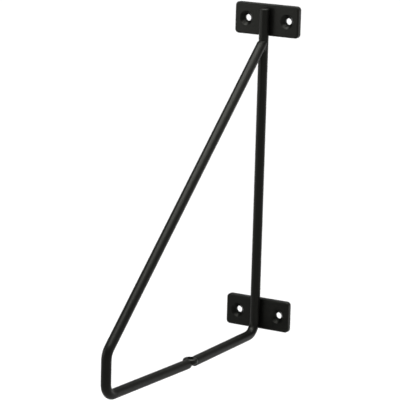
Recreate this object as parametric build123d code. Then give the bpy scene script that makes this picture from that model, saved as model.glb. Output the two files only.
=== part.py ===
from build123d import *
import os

# Wall shelf bracket: one bent round rod welded to two flat wall plates.
# Millimetres. +Z is up, -Y points into the room, and the wall is the plane y = 0.
# The origin is the centre of the four wall screw holes, on the wall plane.

# Round rod, over its coat
rod_diameter = 6.2
rod_end_chamfer = 0.5

# Wall plates
plate_width = 45.3
plate_height = 20.0
plate_thickness = 4.0
plate_corner_radius = 2.5
plate_front_round = 1.0
plate_back_chamfer = 0.5
plate_pitch = 190.0

# Screw holes in the plates
screw_hole_diameter = 4.2
screw_hole_spacing = 29.0
countersink_diameter = 9.2
countersink_angle = 90.0

# Seat of the rod on a plate: it is pressed flat by this much where it is welded on
seat_flat_depth = 0.3

# Bent shape of the rod, to its centre line
rod_top_below_plate_edge = 2.5
bar_below_bottom_plate = 12.5
reach_from_wall = 184.0
lip_rise = 26.0
diagonal_end_below_top_plate = 12.7
bar_sag_at_eye = 1.7
rear_bend_radius = 9.0
front_bend_radius = 8.0
lip_bend_radius = 9.5

# Diagonal's welded end: a fillet round its seam, and a bead that fills the corner below it
diagonal_tip_trim = 1.8
weld_round = 0.6
weld_bead_length = 5.7
weld_bead_width = 2.6
weld_bead_end_chamfer = 0.5
weld_bead_above_corner = 0.6
weld_bead_inside_rod_side = 0.3

# Eye pressed into the middle of the shelf bar, for a screw up into the shelf
eye_from_wall = 87.5
eye_diameter = 9.5
eye_thickness = 3.65
eye_edge_round = 1.7
eye_above_rod_top = 0.1
eye_hole_diameter = 4.4
notch_wall_slope_run = 1.6
notch_roof_length = 6.0

# Worked out from the sizes above
rod_radius = rod_diameter / 2
wall_rod_y = -(plate_thickness + rod_radius - seat_flat_depth)
top_plate_z = plate_pitch / 2
bottom_plate_z = -plate_pitch / 2
rod_top_z = top_plate_z + plate_height / 2 - rod_top_below_plate_edge
bar_z = bottom_plate_z - bar_below_bottom_plate
lip_y = -reach_from_wall
lip_top_z = bar_z + lip_rise
diagonal_end_z = top_plate_z - diagonal_end_below_top_plate
eye_y = -eye_from_wall
eye_axis_z = bar_z - bar_sag_at_eye
eye_top_z = eye_axis_z + rod_radius + eye_above_rod_top
eye_bottom_z = eye_top_z - eye_thickness

rod_top = Vector(0, wall_rod_y, rod_top_z)
rear_corner = Vector(0, wall_rod_y, bar_z)
eye_centre = Vector(0, eye_y, eye_axis_z)
front_corner = Vector(0, lip_y, bar_z)
lip_corner = Vector(0, lip_y, lip_top_z)
diagonal_end = Vector(0, wall_rod_y, diagonal_end_z)


def rod_along(points, radii):
    """Round rod whose centre line joins the points, with one bend radius for each inner point.
    Its surface starts on the outer side of the bends, away from the weld."""
    centre_line = FilletPolyline(*points, radius=radii)
    along = points[1] - points[0]
    outer_side = Axis.X.direction.cross(along)
    start = Plane(origin=points[0], x_dir=outer_side, z_dir=along)
    return sweep(start * Circle(rod_radius), path=centre_line)


def rear_rod():
    """Upright rod on the wall, the rear bend and the bar as far as the eye."""
    rod = rod_along([rod_top, rear_corner, eye_centre], [rear_bend_radius])
    top_edge = rod.edges().filter_by(GeomType.CIRCLE).sort_by(Axis.Z)[-1]
    return chamfer(top_edge, rod_end_chamfer)


def front_rod():
    """Bar from the eye to the front, the lip and the diagonal, its tip trimmed level."""
    rod = rod_along([eye_centre, front_corner, lip_corner, diagonal_end],
                    [front_bend_radius, lip_bend_radius])
    diagonal = diagonal_end - lip_corner
    upper_line_rise = rod_radius * diagonal.length / diagonal.Y
    front_line_drop = rod_radius * diagonal.Z / diagonal.Y
    tip_z = diagonal_end_z + upper_line_rise - front_line_drop - diagonal_tip_trim
    above_tip = Pos(0, wall_rod_y, tip_z) * Box(
        2 * rod_diameter, 3 * rod_diameter, 2 * rod_diameter,
        align=(Align.CENTER, Align.CENTER, Align.MIN))
    return rod - above_tip


def round_weld(rod):
    """Smooth the seam where the diagonal's end is welded to the upright rod."""
    seam = rod.edges().filter_by_position(
        Axis.Z, diagonal_end_z - 2 * rod_diameter, diagonal_end_z).filter_by(
        lambda edge: edge.center().Y < wall_rod_y)
    return fillet(seam, weld_round)


def weld_bead():
    """The weld metal in the narrow corner under the diagonal, almost as wide as the rods."""
    down = Vector(0, 0, -1)
    down_diagonal = (lip_corner - diagonal_end).normalized()
    into_corner = (down + down_diagonal).normalized()
    corner_distance = 2 * rod_radius / (down - down_diagonal).length
    to_middle = corner_distance - weld_bead_above_corner - weld_bead_length / 2
    middle = Plane(origin=diagonal_end + into_corner * to_middle,
                   x_dir=into_corner, z_dir=Axis.X.direction)
    bead = extrude(middle * SlotOverall(weld_bead_length, weld_bead_width),
                   amount=rod_radius - weld_bead_inside_rod_side, both=True)
    end_edges = bead.faces().filter_by(Axis.X).edges()
    return chamfer(end_edges, weld_bead_end_chamfer)


def seat_flats():
    """The space behind the upright rod that each plate's front face takes up."""
    flat = Box(rod_diameter, rod_radius, plate_height,
               align=(Align.CENTER, Align.MIN, Align.CENTER))
    return [Pos(0, -plate_thickness, z) * flat for z in (top_plate_z, bottom_plate_z)]


def underside_notch():
    """The pressed hollow under the eye, with sloping end walls."""
    below = eye_axis_z - rod_diameter
    depth_run = notch_wall_slope_run * (eye_bottom_z - below) / (eye_bottom_z - eye_axis_z + rod_radius)
    half_roof = notch_roof_length / 2
    outline = Plane.YZ * Polyline(
        (eye_y - half_roof - depth_run, below),
        (eye_y - half_roof, eye_bottom_z),
        (eye_y + half_roof, eye_bottom_z),
        (eye_y + half_roof + depth_run, below),
        close=True)
    return extrude(make_face(outline), amount=rod_diameter, both=True)


def eye_coin():
    """The flattened disc around the screw hole, with rounded edges."""
    coin = Pos(0, eye_y, eye_bottom_z) * Cylinder(
        eye_diameter / 2, eye_thickness, align=(Align.CENTER, Align.CENTER, Align.MIN))
    return fillet(coin.edges().filter_by(GeomType.CIRCLE), eye_edge_round)


def bent_rod():
    """The whole rod with its seats, its eye and the welded end of the diagonal."""
    rod = round_weld(rear_rod() + front_rod()) + weld_bead()
    rod = rod - seat_flats() - underside_notch() + eye_coin()
    eye_hole = Pos(0, eye_y, eye_bottom_z) * Cylinder(
        eye_hole_diameter / 2, 3 * eye_thickness)
    return rod - eye_hole


def wall_plate(centre_z):
    """Flat plate with rounded corners, a rounded front edge and two countersunk screw holes."""
    outline = RectangleRounded(plate_width, plate_height, plate_corner_radius)
    plate = extrude(Plane.XZ * outline, amount=plate_thickness)
    plate = chamfer(plate.faces().sort_by(Axis.Y)[-1].edges(), plate_back_chamfer)
    plate = fillet(plate.faces().sort_by(Axis.Y)[0].edges(), plate_front_round)
    front = Plane(origin=(0, -plate_thickness, 0), x_dir=(1, 0, 0), z_dir=(0, -1, 0))
    for side in (-1, 1):
        hole = CounterSinkHole(
            screw_hole_diameter / 2, countersink_diameter / 2,
            depth=plate_thickness, counter_sink_angle=countersink_angle)
        plate -= front * Pos(side * screw_hole_spacing / 2, 0) * hole
    return Pos(0, 0, centre_z) * plate


nodes = {
    "bent_rod": bent_rod(),
    "top_wall_plate": wall_plate(top_plate_z),
    "bottom_wall_plate": wall_plate(bottom_plate_z),
}

os.makedirs("parts", exist_ok=True)
for name, shape in nodes.items():
    export_step(shape, f"parts/{name}.step")
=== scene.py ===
import math

import bpy
from mathutils import Matrix, Vector


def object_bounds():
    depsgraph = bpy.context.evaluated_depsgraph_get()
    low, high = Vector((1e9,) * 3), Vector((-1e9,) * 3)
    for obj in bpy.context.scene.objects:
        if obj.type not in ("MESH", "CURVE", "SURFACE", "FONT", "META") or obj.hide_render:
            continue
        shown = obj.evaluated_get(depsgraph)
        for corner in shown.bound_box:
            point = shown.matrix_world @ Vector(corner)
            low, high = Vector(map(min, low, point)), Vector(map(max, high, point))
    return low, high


MM = 0.001

# Camera, solved from the outline of the bracket in the photograph: where it looks, from how far, its
# angles in degrees, and the steps aside that place the bracket in the picture
CAMERA_TARGET = Vector((0, -60, -7.5)) * MM
CAMERA_DISTANCE = 1485.59 * MM
CAMERA_AZIMUTH = 30.15
CAMERA_ELEVATION = 11.87
CAMERA_ROLL = 1.55
CAMERA_STEP_RIGHT = -10.49 * MM
CAMERA_STEP_UP = -3.86 * MM
SENSOR_WIDTH_MM = 36
FOCAL_LENGTH_MM = 216.68

# Studio floor below the hanging bracket, in metres: pale grey under it, and fading to white behind it
# between two distances from the origin, away from the camera
FLOOR_DROP = 250 * MM
FLOOR_SIZE = 30
FLOOR_FRONT_COLOUR = (0.43, 0.43, 0.43, 1)
FLOOR_REAR_COLOUR = (0.98, 0.98, 0.98, 1)
FLOOR_FADE_START = 0.25
FLOOR_FADE_END = 0.66

# Surroundings: pale grey at the horizon and dimmer above, by the sine of the elevation
HORIZON_SHADE = 0.5
UPPER_SHADE = 0.15
HORIZON_TOP = 0.08
UPPER_START = 0.3

# Powder coat: two shades of black and of gloss in soft clouds
COAT_DARK = (0.0040, 0.0041, 0.0036, 1)
COAT_LIGHT = (0.0062, 0.0063, 0.0056, 1)
COAT_GLOSS = 0.25
COAT_GLOSS_TINT = (0.98, 1.0, 0.9, 1)
COAT_ROUGHNESS_LOW = 0.35
COAT_ROUGHNESS_HIGH = 0.41
CLOUDS_PER_METRE = 60
CLOUD_DETAIL = 2.0
CLOUD_UNEVENNESS = 0.5
CLOUD_VALUE_LOW = 0.3
CLOUD_VALUE_HIGH = 0.7

# Skin of the coat: pebbles about a millimetre wide
PEBBLES_PER_METRE = 1100
PEBBLE_DETAIL = 1.0
PEBBLE_UNEVENNESS = 0.4
PEBBLE_HEIGHT = 0.05 * MM
PEBBLE_STRENGTH = 0.9

# Far lamps: the way towards each, as azimuth and elevation in degrees, its spread and strength
FAR_LAMPS = {
    "overhead_light": {"azimuth": 0, "elevation": 90, "spread": 36, "strength": 1.6},
    "rear_light": {"azimuth": 180, "elevation": 65, "spread": 36, "strength": 1.3},
}

# Near soft boxes: the way towards each, the point it looks at, its distance and size in metres, and
# its radiance
WHOLE_BRACKET = Vector((0, -60, 60)) * MM
TOP_PLATE = Vector((0, -20, 95)) * MM
SOFT_BOXES = {
    "front_soft_box": {
        "azimuth": -45, "elevation": 5, "aim": WHOLE_BRACKET,
        "distance": 0.5, "size": 0.25, "radiance": 1.95},
    "side_soft_box": {
        "azimuth": 120, "elevation": 40, "aim": WHOLE_BRACKET,
        "distance": 0.7, "size": 0.35, "radiance": 2.0},
    "top_left_soft_box": {
        "azimuth": -60, "elevation": 60, "aim": TOP_PLATE,
        "distance": 0.5, "size": 0.167, "radiance": 9.3},
    "top_right_soft_box": {
        "azimuth": 60, "elevation": 60, "aim": TOP_PLATE,
        "distance": 0.35, "size": 0.15, "radiance": 4.4},
}


def way_to(azimuth, elevation):
    """Unit vector towards a lamp or camera; azimuth 0 is the room side of the bracket, 90 its right."""
    turn = math.radians(azimuth)
    rise = math.radians(elevation)
    return Vector((
        math.sin(turn) * math.cos(rise),
        -math.cos(turn) * math.cos(rise),
        math.sin(rise)))


def make_camera():
    """Camera at the photograph's viewing angle."""
    turn = math.radians(CAMERA_AZIMUTH)
    roll = math.radians(CAMERA_ROLL)
    back = way_to(CAMERA_AZIMUTH, CAMERA_ELEVATION)
    right = Vector((math.cos(turn), math.sin(turn), 0))
    up = back.cross(right)
    place = (CAMERA_TARGET + CAMERA_DISTANCE * back
             + CAMERA_STEP_RIGHT * right + CAMERA_STEP_UP * up)
    rolled_right = math.cos(roll) * right + math.sin(roll) * up
    rolled_up = math.cos(roll) * up - math.sin(roll) * right
    axes = Matrix((rolled_right, rolled_up, back)).transposed()

    data = bpy.data.cameras.new("camera")
    data.sensor_width = SENSOR_WIDTH_MM
    data.lens = FOCAL_LENGTH_MM
    camera = bpy.data.objects.new("camera", data)
    bpy.context.scene.collection.objects.link(camera)
    camera.matrix_world = Matrix.Translation(place) @ axes.to_4x4()
    bpy.context.scene.camera = camera


def new_material(name):
    """Empty node material, and its links."""
    material = bpy.data.materials.new(name)
    material.use_nodes = True
    material.node_tree.nodes.clear()
    return material, material.node_tree.links


def add_node(owner, kind, **inputs):
    """New node in a material or world, with its constant inputs set by name."""
    node = owner.node_tree.nodes.new(kind)
    for name, value in inputs.items():
        node.inputs[name.replace("_", " ")].default_value = value
    return node


def colour_between(owner, factor, first, last):
    """Colour that goes from the first to the last with a factor."""
    mix = add_node(owner, "ShaderNodeMix")
    mix.data_type = "RGBA"
    mix.inputs["A"].default_value = first
    mix.inputs["B"].default_value = last
    owner.node_tree.links.new(factor, mix.inputs["Factor"])
    return mix.outputs["Result"]


def smooth_fade(owner, coordinates, axis, start, end, first, last):
    """Value that goes smoothly from the first to the last between two places along an axis."""
    links = owner.node_tree.links
    place = add_node(owner, "ShaderNodeTexCoord")
    split = add_node(owner, "ShaderNodeSeparateXYZ")
    fade = add_node(owner, "ShaderNodeMapRange", From_Min=start, From_Max=end, To_Min=first, To_Max=last)
    fade.interpolation_type = "SMOOTHSTEP"
    links.new(place.outputs[coordinates], split.inputs["Vector"])
    links.new(split.outputs[axis], fade.inputs["Value"])
    return fade.outputs["Result"]


def powder_coat():
    """Satin black powder coat: a fine pebbled skin with faint changes of shade and gloss."""
    material, links = new_material("black_powder_coat")
    output = add_node(material, "ShaderNodeOutputMaterial")
    shader = add_node(material, "ShaderNodeBsdfPrincipled",
                      Specular_IOR_Level=COAT_GLOSS, Specular_Tint=COAT_GLOSS_TINT)
    links.new(shader.outputs["BSDF"], output.inputs["Surface"])

    place = add_node(material, "ShaderNodeTexCoord")
    clouds = add_node(material, "ShaderNodeTexNoise", Scale=CLOUDS_PER_METRE,
                      Detail=CLOUD_DETAIL, Roughness=CLOUD_UNEVENNESS)
    pebbles = add_node(material, "ShaderNodeTexNoise", Scale=PEBBLES_PER_METRE,
                       Detail=PEBBLE_DETAIL, Roughness=PEBBLE_UNEVENNESS)
    for noise in (clouds, pebbles):
        links.new(place.outputs["Object"], noise.inputs["Vector"])

    shade = colour_between(material, clouds.outputs["Fac"], COAT_DARK, COAT_LIGHT)
    links.new(shade, shader.inputs["Base Color"])

    polish = add_node(material, "ShaderNodeMapRange", From_Min=CLOUD_VALUE_LOW, From_Max=CLOUD_VALUE_HIGH,
                      To_Min=COAT_ROUGHNESS_LOW, To_Max=COAT_ROUGHNESS_HIGH)
    links.new(clouds.outputs["Fac"], polish.inputs["Value"])
    links.new(polish.outputs["Result"], shader.inputs["Roughness"])

    skin = add_node(material, "ShaderNodeBump", Strength=PEBBLE_STRENGTH, Distance=PEBBLE_HEIGHT)
    links.new(pebbles.outputs["Fac"], skin.inputs["Height"])
    links.new(skin.outputs["Normal"], shader.inputs["Normal"])
    return material


def make_floor():
    """Plain pale floor, turned so that it fades to white along the camera's own direction."""
    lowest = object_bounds()[0]
    bpy.ops.mesh.primitive_plane_add(
        size=FLOOR_SIZE,
        location=(0, 0, lowest.z - FLOOR_DROP),
        rotation=(0, 0, math.radians(CAMERA_AZIMUTH)))
    floor = bpy.context.object
    floor.name = "floor"

    material, links = new_material("studio_floor")
    output = add_node(material, "ShaderNodeOutputMaterial")
    shader = add_node(material, "ShaderNodeBsdfDiffuse")
    fade = smooth_fade(material, "Object", "Y", FLOOR_FADE_START, FLOOR_FADE_END, 0, 1)
    colour = colour_between(material, fade, FLOOR_FRONT_COLOUR, FLOOR_REAR_COLOUR)
    links.new(colour, shader.inputs["Color"])
    links.new(shader.outputs["BSDF"], output.inputs["Surface"])
    floor.data.materials.append(material)


def make_world():
    """Plain surroundings that go on from the floor without an edge and grow dim above."""
    world = bpy.data.worlds.new("studio")
    bpy.context.scene.world = world
    world.use_nodes = True
    background = world.node_tree.nodes["Background"]
    shade = smooth_fade(world, "Generated", "Z", HORIZON_TOP, UPPER_START, HORIZON_SHADE, UPPER_SHADE)
    world.node_tree.links.new(shade, background.inputs["Color"])


def add_lamp(name, data, way):
    """Lamp object that shines against the way towards it."""
    lamp = bpy.data.objects.new(name, data)
    lamp.rotation_euler = way.to_track_quat("Z", "Y").to_euler()
    bpy.context.scene.collection.objects.link(lamp)
    return lamp


def far_light(name, azimuth, elevation, spread, strength):
    """Wide soft light from far away, the same all over the floor."""
    data = bpy.data.lights.new(name, "SUN")
    data.angle = math.radians(spread)
    data.energy = strength
    add_lamp(name, data, way_to(azimuth, elevation))


def soft_box(name, azimuth, elevation, aim, distance, size, radiance):
    """Square soft box near the bracket."""
    data = bpy.data.lights.new(name, "AREA")
    data.size = size
    data.energy = radiance * math.pi * size ** 2
    way = way_to(azimuth, elevation)
    add_lamp(name, data, way).location = aim + distance * way


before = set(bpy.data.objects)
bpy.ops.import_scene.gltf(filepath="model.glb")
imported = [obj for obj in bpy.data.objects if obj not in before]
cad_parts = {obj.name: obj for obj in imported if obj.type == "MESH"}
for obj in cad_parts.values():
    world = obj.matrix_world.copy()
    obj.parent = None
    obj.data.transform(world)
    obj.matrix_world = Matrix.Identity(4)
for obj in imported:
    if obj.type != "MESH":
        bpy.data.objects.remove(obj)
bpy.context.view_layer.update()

coat = powder_coat()
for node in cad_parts.values():
    node.data.materials.clear()
    node.data.materials.append(coat)

make_camera()
make_floor()
make_world()
for name, settings in FAR_LAMPS.items():
    far_light(name, **settings)
for name, settings in SOFT_BOXES.items():
    soft_box(name, **settings)

bpy.context.scene.view_settings.view_transform = "Standard"
